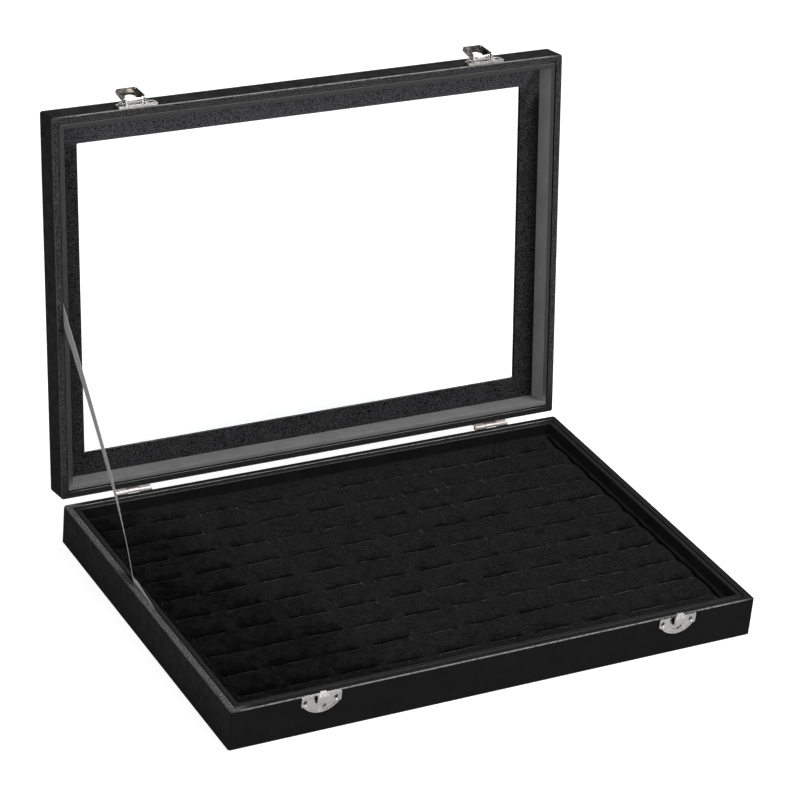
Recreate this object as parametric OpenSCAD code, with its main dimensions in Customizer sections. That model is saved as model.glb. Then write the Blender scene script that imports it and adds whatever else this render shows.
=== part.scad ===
// Ring display box with a glazed lid, a slotted ring pad, two hook latches
// and a ribbon stay. It stands open, as on a shop counter.
// Millimetres. The origin is the middle of the underside, +X to the right,
// +Y to the hinge side and +Z up.

/* [Box] */
// Outside width, left to right
box_w = 350; // [260:1:480]
// Outside depth, front to back
box_d = 242; // [190:1:340]
// Height of the base from the table to its rim
base_h = 26; // [22:0.5:60]
// Height of the lid from its rim to its top
lid_h = 18.5; // [17:0.5:40]
// Thickness of the outer walls with their covering
wall_t = 4.4; // [3.6:0.1:8]
// Radius of the four upright corners
corner_r = 1.6; // [0.4:0.1:3]
// Radius of the outer edges along the rims and the top
edge_r = 1.2; // [0.4:0.1:2]
// Radius of the inner edges along the rims
inner_edge_r = 0.6; // [0.2:0.1:1]
// Gap left between the two rims when the lid is shut
rim_gap = 0.3; // [0.1:0.1:1]
// Angle at which the lid stands open, counted from shut
lid_open = 99; // [60:1:110]

/* [Liners] */
// Thickness of the covered strips that line the base and the lid
liner_t = 3; // [1.5:0.1:5]
// Groove between wall and liner, where the ribbon ends are tucked in
tuck_gap = 0.6; // [0.5:0.1:1]
// How far the liners end below the rim
liner_drop = 0.4; // [0.1:0.1:3]

/* [Floor] */
// Thickness of the bottom board
floor_t = 3; // [1.5:0.1:6]
// Thickness of the sheet glued under the bottom board
cover_t = 0.8; // [0.3:0.1:2]

/* [Ring pad] */
// How far the top of the pad lies below the rim
pad_drop = 7.6; // [3:0.1:10]
// Gap between the pad and the liners at its left and right ends
pad_side_gap = 5; // [0.4:0.1:12]
// Gap between the pad and the liners at the front and the back
pad_end_gap = 0.4; // [0.3:0.1:3]
// Distance between the slots of one row
slot_pitch_x = 32.6; // [26:0.1:45]
// Distance between the rows of slots
slot_pitch_y = 21.4; // [14:0.1:32]
// Length of a slot
slot_len = 22.4; // [14:0.1:25]
// Width of a slot at its mouth
slot_mouth = 1.6; // [0.8:0.1:3]
// Width of a slot at its bottom
slot_foot = 0.6; // [0.3:0.1:0.7]
// Depth of a slot below the top of the pad
slot_depth = 9.5; // [5:0.1:10]
// Rise of each strip of the pad between two rows of slots
strip_crown = 0.9; // [0.2:0.1:2]
// How far the pad's ends draw in at each row of slots
end_scallop = 1.3; // [0.2:0.1:3]
// Radius of the pad's top edges
pad_edge_r = 2.6; // [0.5:0.1:4]
// Least width of pad outside the outermost slots, left and right
pad_margin_x = 4; // [2:0.1:20]
// Least width of pad outside the outermost slots, front and back
pad_margin_y = 14; // [6:0.1:20]

/* [Lid window] */
// Width of the frame round the window
window_rail = 22; // [16:0.5:40]
// Thickness of the top frame
top_t = 3; // [2.6:0.1:6]
// Thickness of the glass
glass_t = 1.8; // [1:0.1:2]
// Width of the rebate that holds the glass
rebate_w = 5; // [3:0.1:7]
// Gap round the glass in its rebate
glass_gap = 0.3; // [0.1:0.1:0.8]
// Thickness of the covered ring that backs the glass
flange_t = 0.8; // [0.4:0.1:2]
// Radius of the window's corners
window_r = 0.8; // [0.2:0.1:3]

/* [Latches] */
// Distance between the two latches, middle to middle
latch_span = 238; // [120:1:245]
// Width of a half-moon plate
plate_w = 25.2; // [20:0.1:32]
// Height of a half-moon plate from its straight edge to its bow
plate_h = 11.8; // [9:0.1:14]
// Height of the straight ends of a half-moon plate
plate_end_h = 6.4; // [4:0.1:7]
// Step between the straight ends and the bow
plate_step = 1.5; // [0.5:0.1:2.5]
// How far a plate stands out from the wall
plate_rise = 1.4; // [1:0.1:2]
// Thickness of the sheet metal of the plates
sheet_t = 0.6; // [0.4:0.05:0.9]
// Width of the bead along the edge of a plate
bead_w = 0.9; // [0.5:0.1:1.2]
// Height of the bead above the plate
bead_h = 0.25; // [0.1:0.05:0.4]
// Distance between the two nails of a plate
plate_nail_span = 19.5; // [17:0.1:21]
// Distance of the nails from the straight edge of a plate
plate_nail_drop = 4; // [3:0.1:4.6]
// Width of the hook on the base plate
hook_w = 7.2; // [5:0.1:8.5]
// How far the hook reaches out from the wall
hook_reach = 4.2; // [3.6:0.1:4.4]
// How far the tip of the hook rises above the rim
hook_rise = 3.2; // [1.5:0.1:4]
// Width of the lever
lever_w = 13.6; // [12.6:0.1:16]
// Length of the lever from its pin to its lip
lever_len = 13; // [12.6:0.1:16]
// Thickness of the lever
lever_t = 0.7; // [0.5:0.05:0.8]
// Depth of the lip at the lever's end
lever_lip = 1.6; // [1.2:0.1:2.4]
// Height of the lever's pin above the lid's rim
pin_up = 6.5; // [5.8:0.1:7]
// Distance of the lever's pin from the wall
pin_out = 3.6; // [3.6:0.1:4.5]
// Radius of the lever's pin
pin_r = 0.6; // [0.4:0.05:0.7]
// Angle between the lever shut and the lever thrown back
lever_open = 165; // [120:1:166]

/* [Hinges] */
// Distance between the two hinges, middle to middle
hinge_span = 255; // [140:1:262]
// Width of a hinge
hinge_w = 24; // [20:0.1:40]
// Height of a hinge leaf below or above its knuckles
leaf_h = 9; // [8:0.1:10]
// Thickness of a hinge leaf
leaf_t = 0.9; // [0.7:0.05:1.1]
// Distance of the hinge axis from the back face
hinge_out = 1.85; // [1.8:0.05:2]
// Outside radius of the knuckles
knuckle_r = 1.3; // [1.2:0.05:1.4]
// Radius of the hinge pin
hinge_pin_r = 0.6; // [0.4:0.05:0.7]
// Gap between two knuckles
knuckle_gap = 0.15; // [0.05:0.05:0.3]
// Distance between the two nails of a leaf
leaf_nail_span = 15; // [12:0.1:16]

/* [Nails] */
// Radius of the nails' shanks
nail_r = 0.55; // [0.4:0.05:0.6]
// Radius of the nails' heads
nail_head_r = 1.1; // [0.9:0.05:1.3]
// Length of the nails inside the wall
nail_bite = 3.2; // [2:0.1:3.4]

/* [Ribbon stay] */
// Width of the ribbon
ribbon_w = 10; // [5:0.1:14]
// Thickness of the ribbon
ribbon_t = 0.4; // [0.2:0.05:0.4]
// Distance of the ribbon's base end from the back face
ribbon_base_back = 124; // [60:1:150]
// Distance of the ribbon's lid end from the back face
ribbon_lid_back = 118; // [60:1:150]
// Length of the ribbon tucked into each groove
ribbon_tuck = 7; // [3:0.5:8]

/* [Hidden] */
$fn = 48;

eps = 0.01;
// Numbers of the four sides of a mitred ring
front = 0;
right = 1;
back = 2;
left = 3;

// Colours of the finishes
leatherette = [0.09, 0.09, 0.09];
velvet = [0.05, 0.05, 0.055];
liner_grey = [0.2, 0.2, 0.205];
nickel = [0.8, 0.79, 0.77];
nail_steel = [0.3, 0.29, 0.28];
ribbon_grey = [0.42, 0.42, 0.42];

// Space inside the walls, and inside the liners
inside_wall = wall_t;
inside_liner = wall_t + tuck_gap + liner_t;
floor_z = cover_t + floor_t;

// The lid is drawn shut, with its rim at height 0, and then swung open
lid_rim_z = base_h + rim_gap;
hinge_y = box_d / 2 + hinge_out;
hinge_z = base_h + rim_gap / 2;
frame_z = lid_h - top_t;
flange_z = frame_z - flange_t;
rebate_play = 0.1;

// The pad and its grid of slots
pad_w = box_w - 2 * (inside_liner + pad_side_gap);
pad_d = box_d - 2 * (inside_liner + pad_end_gap);
pad_top = base_h - pad_drop;
slot_cols = floor((pad_w - 2 * pad_margin_x - slot_len) / slot_pitch_x) + 1;
slot_rows = floor((pad_d - 2 * pad_margin_y) / slot_pitch_y) + 1;
row_y = [for (i = [0:slot_rows - 1]) (i - (slot_rows - 1) / 2) * slot_pitch_y];
col_x = [for (i = [0:slot_cols - 1]) (i - (slot_cols - 1) / 2) * slot_pitch_x];
// Lines between the strips of the pad, with its front and back edges
strip_y = concat([-pad_d / 2], row_y, [pad_d / 2]);
strip_steps = 8;

// The half-moon plates
bow_half = plate_w / 2 - plate_step;
bow_sag = plate_h - plate_end_h;
bow_r = (bow_half * bow_half + bow_sag * bow_sag) / (2 * bow_sag);
plate_corner_r = 1;
dish_r = 1.9;
dish_wall = 0.5;
nail_play = 0.03;
dimple_r = 4.3;
dimple_floor = 0.5;
hook_slot_play = 0.3;
hook_root_z = -5.2;
hook_bend_r = 1.8;
hook_t = 0.8;
hook_tip_lean = 1;
hook_tip_w = 3.4;

// The latch levers, drawn round their pin, shut and hanging down
ear_t = 0.8;
ear_gap = 0.4;
lever_off = 1.15;
cheek_r = 2.05;
ear_x = lever_w / 2 - lever_t - ear_gap - ear_t;
ear_r = 1.1;
lever_corner_r = 0.8;
arch_r = 3.5;
arch_mid = 5.2;
// The ears sweep through the lever's face this far from the pin
ear_sweep = norm([pin_out - plate_rise + sheet_t, ear_r]);
ear_window = sqrt(ear_sweep * ear_sweep - lever_off * lever_off) + ear_gap / 2;
pin_play = 0.05;
pin_head_r = 0.95;
pin_head_t = 0.4;

// The hinges
knuckle_len = (hinge_w - 2 * knuckle_gap) / 3;
leaf_clear = 0.2;
leaf_nail_z = leaf_h - 3.8;
hinge_play = 0.05;
pin_proud = 0.3;

// The ribbon's two mouths, as [y, z] at rest
groove_x = box_w / 2 - wall_t - tuck_gap / 2;
ribbon_foot = [box_d / 2 - ribbon_base_back, base_h];
lid_arm = ribbon_lid_back + hinge_out;
ribbon_head = [
    hinge_y - lid_arm * cos(lid_open) + rim_gap / 2 * sin(lid_open),
    hinge_z + lid_arm * sin(lid_open) + rim_gap / 2 * cos(lid_open)
];

// Puts a piece of the lid, drawn shut with its rim at height 0, where it is
// with the lid standing open
module on_lid() {
    translate([0, hinge_y, hinge_z])
        rotate([-lid_open, 0, 0])
            translate([0, -hinge_y, lid_rim_z - hinge_z])
                children();
}

// Draws in the Y-Z plane and extrudes along X, centred
module along_x(len) {
    rotate([90, 0, 90])
        translate([0, 0, -len / 2])
            linear_extrude(len)
                children();
}

// Draws a side view, [distance towards -Y, height], and gives it a width
module side_view(width) {
    mirror([0, 1, 0])
        along_x(width)
            children();
}

// Draws in the X-Z plane, the sheet's back at y = 0 and its face towards -Y
module towards_front(depth) {
    rotate([90, 0, 0])
        linear_extrude(depth)
            children();
}

// Rectangle with round corners, made of exact arcs
module round_rect(w, d, r) {
    square([w, d - 2 * r], center = true);
    square([w - 2 * r, d], center = true);
    for (sx = [-1, 1])
        for (sy = [-1, 1])
            translate([sx * (w / 2 - r), sy * (d / 2 - r)])
                circle(r);
}

// The sliver that a round edge of radius r takes off a corner at the origin
module corner_waste(r) {
    difference() {
        translate([-eps, -eps])
            square([r + eps, r + eps]);
        translate([r, r])
            circle(r);
    }
}

// Section of a bar, outer face at x = 0 and foot at y = 0
module bar_section(t, h, r_out, r_in, r_foot) {
    difference() {
        square([t, h]);
        translate([0, h])
            mirror([0, 1])
                corner_waste(r_out);
        translate([t, h])
            rotate(180)
                corner_waste(r_in);
        if (r_foot > 0)
            corner_waste(r_foot);
    }
}

// One side of a mitred rectangular ring of bars, w by d outside
module ring_side(side, w, d, t, z0, z1, r_out, r_in, r_foot = 0) {
    len = side % 2 == 0 ? w : d;
    reach = side % 2 == 0 ? d / 2 : w / 2;
    rotate([0, 0, 90 * side])
        intersection() {
            translate([0, 0, z0])
                linear_extrude(z1 - z0)
                    polygon([
                        [-len / 2, -reach],
                        [len / 2, -reach],
                        [len / 2 - t, t - reach],
                        [t - len / 2, t - reach]
                    ]);
            along_x(len)
                translate([-reach, z0])
                    bar_section(t, z1 - z0, r_out, r_in, r_foot);
        }
}

// Rounds the upright corners of a wall
module round_corners(z0, z1) {
    intersection() {
        children();
        translate([0, 0, z0])
            linear_extrude(z1 - z0)
                round_rect(box_w, box_d, corner_r);
    }
}

// One outer wall of the base
module base_wall(side) {
    color(leatherette)
        difference() {
            round_corners(0, base_h)
                ring_side(side, box_w, box_d, wall_t, 0, base_h, edge_r, inner_edge_r, inner_edge_r);
            if (side == front)
                catch_nail_holes();
            if (side == back)
                base_hinge_nail_holes();
        }
}

// One outer wall of the lid, drawn shut with its rim down
module lid_wall_shut(side) {
    difference() {
        round_corners(0, frame_z)
            translate([0, 0, frame_z])
                mirror([0, 0, 1])
                    ring_side(side, box_w, box_d, wall_t, 0, frame_z, edge_r, inner_edge_r);
        if (side == front)
            latch_nail_holes();
        if (side == back)
            lid_hinge_nail_holes();
    }
}

module lid_wall(side) {
    color(leatherette)
        on_lid()
            lid_wall_shut(side);
}

// One liner strip, standing on its end z0 with its lip at z1
module liner_side(side, z0, z1) {
    inset = wall_t + tuck_gap;
    ring_side(side, box_w - 2 * inset, box_d - 2 * inset, liner_t, z0, z1, inner_edge_r, inner_edge_r);
}

module base_liner(side) {
    color(liner_grey)
        liner_side(side, floor_z, base_h - liner_drop);
}

module lid_liner(side) {
    color(liner_grey)
        on_lid()
            translate([0, 0, flange_z])
                mirror([0, 0, 1])
                    liner_side(side, 0, flange_z - liner_drop);
}

module base_bottom_board() {
    color([0.35, 0.27, 0.2])
        translate([0, 0, cover_t + floor_t / 2])
            cube([box_w - 2 * inside_wall, box_d - 2 * inside_wall, floor_t], center = true);
}

module base_underside_cover() {
    color(velvet)
        translate([0, 0, cover_t / 2])
            cube([box_w - 2 * inside_wall, box_d - 2 * inside_wall, cover_t], center = true);
}

// Height of the pad above its valleys at a share u, 0 to 1, across a strip
function crown_at(u) = strip_crown * (1 - pow(2 * u - 1, 2));

// Top line of the pad from front to back: one crown to each strip
pad_line = [
    for (i = [0:slot_rows])
        for (k = [0:strip_steps - 1])
            let (u = k / strip_steps)
            [
                strip_y[i] + u * (strip_y[i + 1] - strip_y[i]),
                pad_top - strip_crown + crown_at(u)
            ]
];

// Right end of the pad in plan: one bulge to each strip
pad_end = [
    for (i = [0:slot_rows])
        for (k = [0:strip_steps - 1])
            let (u = k / strip_steps)
            [
                pad_w / 2 - end_scallop * pow(2 * u - 1, 2),
                strip_y[i] + u * (strip_y[i + 1] - strip_y[i])
            ]
];

// Plan of the pad, its ends drawn in at every row of slots
module pad_plan() {
    last = [pad_w / 2 - end_scallop, pad_d / 2];
    side = concat(pad_end, [last]);
    count = len(side);
    polygon(concat(side, [for (i = [count - 1:-1:0]) [-side[i][0], side[i][1]]]));
}

// Section of the pad from front to back, its long edges rounded over
module pad_section_y() {
    difference() {
        polygon(concat(
            [[-pad_d / 2, floor_z]],
            pad_line,
            [[pad_d / 2, pad_top - strip_crown], [pad_d / 2, floor_z]]
        ));
        for (s = [0, 1])
            mirror([s, 0])
                translate([-pad_d / 2, pad_top])
                    mirror([0, 1])
                        corner_waste(pad_edge_r);
    }
}

// Section of the pad from left to right, its ends rounded over
module pad_section_x() {
    difference() {
        translate([-pad_w / 2, floor_z])
            square([pad_w, pad_top - floor_z]);
        for (s = [0, 1])
            mirror([s, 0])
                translate([-pad_w / 2, pad_top])
                    mirror([0, 1])
                        corner_waste(pad_edge_r);
    }
}

// Section of one slot, wide at its mouth
module slot_section() {
    polygon([
        [-slot_mouth / 2, eps],
        [slot_mouth / 2, eps],
        [slot_foot / 2, -slot_depth],
        [-slot_foot / 2, -slot_depth]
    ]);
}

// Foam pad under velvet: crowned strips with rows of slots between them
module ring_pad() {
    color(velvet)
        difference() {
            intersection() {
                along_x(pad_w)
                    pad_section_y();
                translate([0, pad_d / 2, 0])
                    towards_front(pad_d)
                        pad_section_x();
                translate([0, 0, floor_z])
                    linear_extrude(pad_top - floor_z)
                        pad_plan();
            }
            for (x = col_x)
                for (y = row_y)
                    translate([x, y, pad_top])
                        along_x(slot_len)
                            slot_section();
        }
}

// Outline of a half-moon plate, straight edge up at z = 0, drawn in by inset
module half_moon(inset = 0) {
    half = plate_w / 2 - inset;
    intersection() {
        translate([0, -plate_h + bow_r])
            circle(bow_r - inset);
        translate([-bow_half, -plate_h])
            square([2 * bow_half, plate_h - inset]);
    }
    r = plate_corner_r;
    translate([-half, -plate_end_h + inset + r])
        square([2 * half, plate_end_h - 2 * inset - r]);
    translate([-half + r, -plate_end_h + inset])
        square([2 * (half - r), r]);
    for (s = [-1, 1])
        translate([s * (half - r), -plate_end_h + inset + r])
            circle(r);
}

// The two nail places of a plate
module at_plate_nails() {
    for (s = [-1, 1])
        translate([s * plate_nail_span / 2, 0, -plate_nail_drop])
            children();
}

// Pressed plate, hollow behind, with a bead round its edge and dished nail holes
module moon_plate() {
    difference() {
        union() {
            difference() {
                union() {
                    towards_front(plate_rise)
                        half_moon();
                    towards_front(plate_rise + bead_h)
                        difference() {
                            half_moon();
                            half_moon(bead_w);
                        }
                }
                translate([0, eps, 0])
                    towards_front(plate_rise - sheet_t + eps)
                        half_moon(sheet_t);
            }
            at_plate_nails()
                rotate([90, 0, 0])
                    cylinder(r = dish_r + dish_wall, h = plate_rise);
        }
        at_plate_nails()
            rotate([90, 0, 0]) {
                translate([0, 0, dish_wall])
                    cylinder(r1 = nail_r + nail_play, r2 = dish_r, h = plate_rise - dish_wall + eps);
                translate([0, 0, -eps])
                    cylinder(r = nail_r + nail_play, h = plate_rise);
            }
    }
}

// Side view of the hook, [distance from the wall, height above the rim]
module hook_section() {
    foot = hook_reach - hook_bend_r;
    bend_z = hook_root_z + hook_bend_r;
    // Ledge from the plate to the bend
    translate([plate_rise - sheet_t, hook_root_z])
        square([foot - plate_rise + sheet_t, hook_t]);
    // Round bend
    intersection() {
        difference() {
            translate([foot, bend_z])
                circle(hook_bend_r);
            translate([foot, bend_z])
                circle(hook_bend_r - hook_t);
        }
        translate([foot, hook_root_z])
            square([hook_bend_r, hook_bend_r]);
    }
    // Riser and the tip, which leans back to the wall
    polygon([
        [hook_reach - hook_t, bend_z],
        [hook_reach, bend_z],
        [hook_reach, 0],
        [hook_reach - hook_tip_lean, hook_rise],
        [hook_reach - hook_tip_lean - hook_t, hook_rise],
        [hook_reach - hook_t, 0]
    ]);
}

// Hook, bent out of the plate, its tip narrower than its foot
module hook() {
    intersection() {
        side_view(hook_w)
            hook_section();
        towards_front(hook_reach)
            polygon([
                [-hook_w / 2, hook_root_z],
                [hook_w / 2, hook_root_z],
                [hook_w / 2, 0],
                [hook_tip_w / 2, hook_rise],
                [-hook_tip_w / 2, hook_rise],
                [-hook_w / 2, 0]
            ]);
    }
}

// Half-round dimple under the hook, grown by a margin and kept inside the bow
module dimple_plan(grow) {
    r = dimple_r + grow;
    intersection() {
        translate([0, hook_root_z])
            circle(r);
        translate([-r, hook_root_z - r])
            square([2 * r, r + grow]);
        translate([0, -plate_h + bow_r])
            circle(bow_r - 2 * sheet_t + grow);
    }
}

// Base plate of a latch: half-moon plate, hook and the dimple under the hook
module catch_plate(side) {
    slot_w = hook_w + 2 * hook_slot_play;
    color(nickel)
        translate([side * latch_span / 2, -box_d / 2, base_h]) {
            difference() {
                union() {
                    moon_plate();
                    towards_front(plate_rise)
                        dimple_plan(sheet_t);
                }
                // Gap that the hook was cut from
                translate([-slot_w / 2, -plate_rise - bead_h - eps, hook_root_z + hook_t])
                    cube([slot_w, plate_rise + bead_h + 2 * eps, -hook_root_z - hook_t - bead_w]);
                translate([0, -dimple_floor, 0])
                    towards_front(plate_rise)
                        dimple_plan(0);
            }
            hook();
        }
}

// Nail with a low domed head, its head's underside at y = 0, pointing to +Y
module nail(shank) {
    rotate([-90, 0, 0])
        cylinder(r = nail_r, h = shank);
    intersection() {
        translate([0, nail_head_r * 0.8, 0])
            sphere(nail_head_r * 1.3);
        rotate([90, 0, 0])
            cylinder(r = nail_head_r, h = nail_head_r);
    }
}

module nail_hole() {
    translate([0, -eps, 0])
        rotate([-90, 0, 0])
            cylinder(r = nail_r + nail_play, h = nail_bite + 4 * nail_play);
}

module catch_nail_holes() {
    for (s = [-1, 1])
        translate([s * latch_span / 2, -box_d / 2, base_h])
            at_plate_nails()
                nail_hole();
}

// The nail's head sits this far off the wall, in its dish
dish_seat = dish_wall + (nail_head_r - nail_r) / (dish_r - nail_r) * (plate_rise - dish_wall);

module catch_nails() {
    color(nail_steel)
        for (s = [-1, 1])
            translate([s * latch_span / 2, -box_d / 2 - dish_seat, base_h])
                at_plate_nails()
                    nail(dish_seat + nail_bite);
}

// The lid's latch plate, drawn with the lid shut and its rim at height 0
module latch_plate(side) {
    color(nickel)
        on_lid()
            translate([side * latch_span / 2, -box_d / 2, 0]) {
                mirror([0, 0, 1])
                    moon_plate();
                for (s = [-1, 1])
                    translate([s * (ear_x + ear_t / 2), 0, 0])
                        side_view(ear_t)
                            ear_section();
            }
}

// Side view of an ear, with the hole for the lever's pin
module ear_section() {
    difference() {
        union() {
            translate([pin_out, pin_up])
                circle(ear_r);
            translate([plate_rise - sheet_t, pin_up - ear_r])
                square([pin_out - plate_rise + sheet_t, 2 * ear_r]);
        }
        translate([pin_out, pin_up])
            circle(pin_r + nail_play);
    }
}

module latch_nail_holes() {
    for (s = [-1, 1])
        translate([s * latch_span / 2, -box_d / 2, 0])
            mirror([0, 0, 1])
                at_plate_nails()
                    nail_hole();
}

module latch_nails() {
    color(nail_steel)
        on_lid()
            for (s = [-1, 1])
                translate([s * latch_span / 2, -box_d / 2 - dish_seat, 0])
                    mirror([0, 0, 1])
                        at_plate_nails()
                            nail(dish_seat + nail_bite);
}

// Places what is drawn round a lever's pin
module at_latch_pin(side) {
    on_lid()
        translate([side * latch_span / 2, -box_d / 2 - pin_out, pin_up])
            children();
}

module latch_pin(side) {
    half = lever_w / 2 + 3 * pin_play;
    color(nickel)
        at_latch_pin(side)
            rotate([0, 90, 0]) {
                cylinder(r = pin_r, h = 2 * half, center = true);
                for (s = [-1, 1])
                    translate([0, 0, s * (half + pin_head_t / 2)])
                        cylinder(r = pin_head_r, h = pin_head_t, center = true);
            }
}

// Face of the lever, [across, down from the pin], with a window for the ears
// and an arch
module lever_face() {
    r = lever_corner_r;
    window = ear_x + ear_t + ear_gap / 2;
    difference() {
        union() {
            translate([-lever_w / 2, -lever_len + r])
                square([lever_w, lever_len - r + ear_r]);
            translate([-lever_w / 2 + r, -lever_len])
                square([lever_w - 2 * r, r]);
            for (s = [-1, 1])
                translate([s * (lever_w / 2 - r), -lever_len + r])
                    circle(r);
        }
        translate([0, -arch_mid])
            circle(arch_r);
        translate([-arch_r, -arch_mid])
            square([2 * arch_r, arch_mid]);
        translate([-window, -ear_window])
            square([2 * window, ear_window + ear_r + eps]);
    }
}

// Side view of a cheek, [out from the pin, up from the pin]
module cheek_section() {
    face = lever_off + lever_t;
    toe = -lever_len + lever_corner_r;
    difference() {
        union() {
            circle(cheek_r);
            polygon([
                [-cheek_r, 0],
                [face, ear_r],
                [face, toe],
                [lever_off - lever_lip, toe]
            ]);
        }
        circle(pin_r + pin_play);
    }
}

// Lever, drawn shut, then thrown back about its pin
module latch_lever(side) {
    lip_w = lever_w - 2 * lever_corner_r;
    color(nickel)
        at_latch_pin(side)
            rotate([-lever_open, 0, 0]) {
                translate([0, -lever_off, 0])
                    towards_front(lever_t)
                        lever_face();
                for (s = [-1, 1])
                    translate([s * (lever_w - lever_t) / 2, 0, 0])
                        side_view(lever_t)
                            cheek_section();
                // Lip that slips under the hook
                translate([-lip_w / 2, -lever_off - lever_t / 2, -lever_len])
                    cube([lip_w, lever_lip + lever_t / 2, lever_t]);
            }
}

// Knuckle number n of three, counted from the left, round the hinge axis
module knuckle(n, play) {
    step = knuckle_len + knuckle_gap;
    translate([(n - 1) * step, 0, 0])
        rotate([0, 90, 0])
            difference() {
                cylinder(r = knuckle_r, h = knuckle_len, center = true);
                cylinder(r = hinge_pin_r + play, h = knuckle_len + 2 * eps, center = true);
            }
}

// Web from knuckle n to its leaf below
module knuckle_web(n) {
    step = knuckle_len + knuckle_gap;
    translate([(n - 1) * step - knuckle_len / 2, -hinge_out, -knuckle_r - leaf_clear - eps])
        cube([knuckle_len, leaf_t, knuckle_r + leaf_clear + eps]);
}

// A leaf that hangs from its knuckles, drawn round the hinge axis
module leaf(knuckles, play) {
    top = -knuckle_r - leaf_clear;
    r = 1;
    difference() {
        union() {
            translate([0, -hinge_out + leaf_t, 0])
                towards_front(leaf_t) {
                    translate([-hinge_w / 2, -leaf_h + r])
                        square([hinge_w, leaf_h - r + top]);
                    translate([-hinge_w / 2 + r, -leaf_h])
                        square([hinge_w - 2 * r, r]);
                    for (s = [-1, 1])
                        translate([s * (hinge_w / 2 - r), -leaf_h + r])
                            circle(r);
                }
            for (n = knuckles) {
                knuckle(n, play);
                difference() {
                    knuckle_web(n);
                    rotate([0, 90, 0])
                        cylinder(r = hinge_pin_r + play, h = hinge_w, center = true);
                }
            }
        }
        for (s = [-1, 1])
            translate([s * leaf_nail_span / 2, -hinge_out - eps, -leaf_nail_z])
                rotate([-90, 0, 0])
                    cylinder(r = nail_r + nail_play, h = leaf_t + 2 * eps);
    }
}

module at_hinge(side) {
    translate([side * hinge_span / 2, hinge_y, hinge_z])
        children();
}

module hinge_base_leaf(side) {
    color(nickel)
        at_hinge(side)
            leaf([0, 2], nail_play);
}

// The lid leaf stands up when shut and swings with the lid
module hinge_lid_leaf(side) {
    color(nickel)
        at_hinge(side)
            rotate([-lid_open, 0, 0])
                mirror([0, 0, 1])
                    leaf([1], hinge_play);
}

module hinge_pin(side) {
    color(nickel)
        at_hinge(side)
            rotate([0, 90, 0])
                cylinder(r = hinge_pin_r, h = hinge_w + 2 * pin_proud, center = true);
}

// The four nail places of the base leaves, on the back face
module at_base_leaf_nails() {
    for (side = [-1, 1])
        for (s = [-1, 1])
            translate([
                side * hinge_span / 2 + s * leaf_nail_span / 2,
                box_d / 2,
                hinge_z - leaf_nail_z
            ])
                rotate([0, 0, 180])
                    children();
}

module base_hinge_nail_holes() {
    at_base_leaf_nails()
        nail_hole();
}

module base_hinge_nails() {
    color(nail_steel)
        at_base_leaf_nails()
            translate([0, -leaf_t, 0])
                nail(leaf_t + nail_bite);
}

// The same places on the shut lid, mirrored about the hinge axis
module at_lid_leaf_nails() {
    for (side = [-1, 1])
        for (s = [-1, 1])
            translate([
                side * hinge_span / 2 + s * leaf_nail_span / 2,
                box_d / 2,
                leaf_nail_z - rim_gap / 2
            ])
                rotate([0, 0, 180])
                    children();
}

module lid_hinge_nail_holes() {
    at_lid_leaf_nails()
        nail_hole();
}

module lid_hinge_nails() {
    color(nail_steel)
        on_lid()
            at_lid_leaf_nails()
                translate([0, -leaf_t, 0])
                    nail(leaf_t + nail_bite);
}

// Plan of the window, grown by a margin
module window_plan(grow, r) {
    round_rect(
        box_w - 2 * window_rail + 2 * grow,
        box_d - 2 * window_rail + 2 * grow,
        r
    );
}

// Section through a slab with its two top edges rounded
module slab_section(w, h, r) {
    difference() {
        translate([-w / 2, 0])
            square([w, h]);
        for (s = [0, 1])
            mirror([s, 0])
                translate([-w / 2, h])
                    mirror([0, 1])
                        corner_waste(r);
    }
}

// Top of the lid: a covered board with a window and a rebate for the glass
module lid_top_frame() {
    color(leatherette)
        on_lid()
            translate([0, 0, frame_z])
                difference() {
                    intersection() {
                        linear_extrude(top_t)
                            round_rect(box_w, box_d, corner_r);
                        along_x(box_w)
                            slab_section(box_d, top_t, edge_r);
                        translate([0, box_d / 2, 0])
                            towards_front(box_d)
                                slab_section(box_w, top_t, edge_r);
                    }
                    translate([0, 0, -eps])
                        linear_extrude(top_t + 2 * eps)
                            window_plan(0, window_r);
                    translate([0, 0, -eps])
                        linear_extrude(glass_t + rebate_play + eps)
                            window_plan(rebate_w, window_r);
                }
}

module glass_pane() {
    color([0.85, 0.9, 0.9, 0.35])
        on_lid()
            translate([0, 0, frame_z])
                linear_extrude(glass_t)
                    square([
                        box_w - 2 * window_rail + 2 * (rebate_w - glass_gap),
                        box_d - 2 * window_rail + 2 * (rebate_w - glass_gap)
                    ], center = true);
}

// Covered ring that holds the glass from inside the lid
module window_flange() {
    color(velvet)
        on_lid()
            translate([0, 0, flange_z])
                linear_extrude(flange_t)
                    difference() {
                        square([
                            box_w - 2 * (inside_wall + glass_gap),
                            box_d - 2 * (inside_wall + glass_gap)
                        ], center = true);
                        window_plan(0, window_r);
                    }
}

// Ribbon that stops the lid, drawn taut between its two mouths
module stay_ribbon() {
    run = ribbon_head - ribbon_foot;
    pitch = atan2(run[1], run[0]);
    color(ribbon_grey)
        translate([-groove_x, ribbon_foot[0], ribbon_foot[1]])
            rotate([pitch, 0, 0])
                translate([-ribbon_t / 2, -ribbon_tuck, -ribbon_w / 2])
                    cube([ribbon_t, norm(run) + 2 * ribbon_tuck, ribbon_w]);
}

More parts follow.
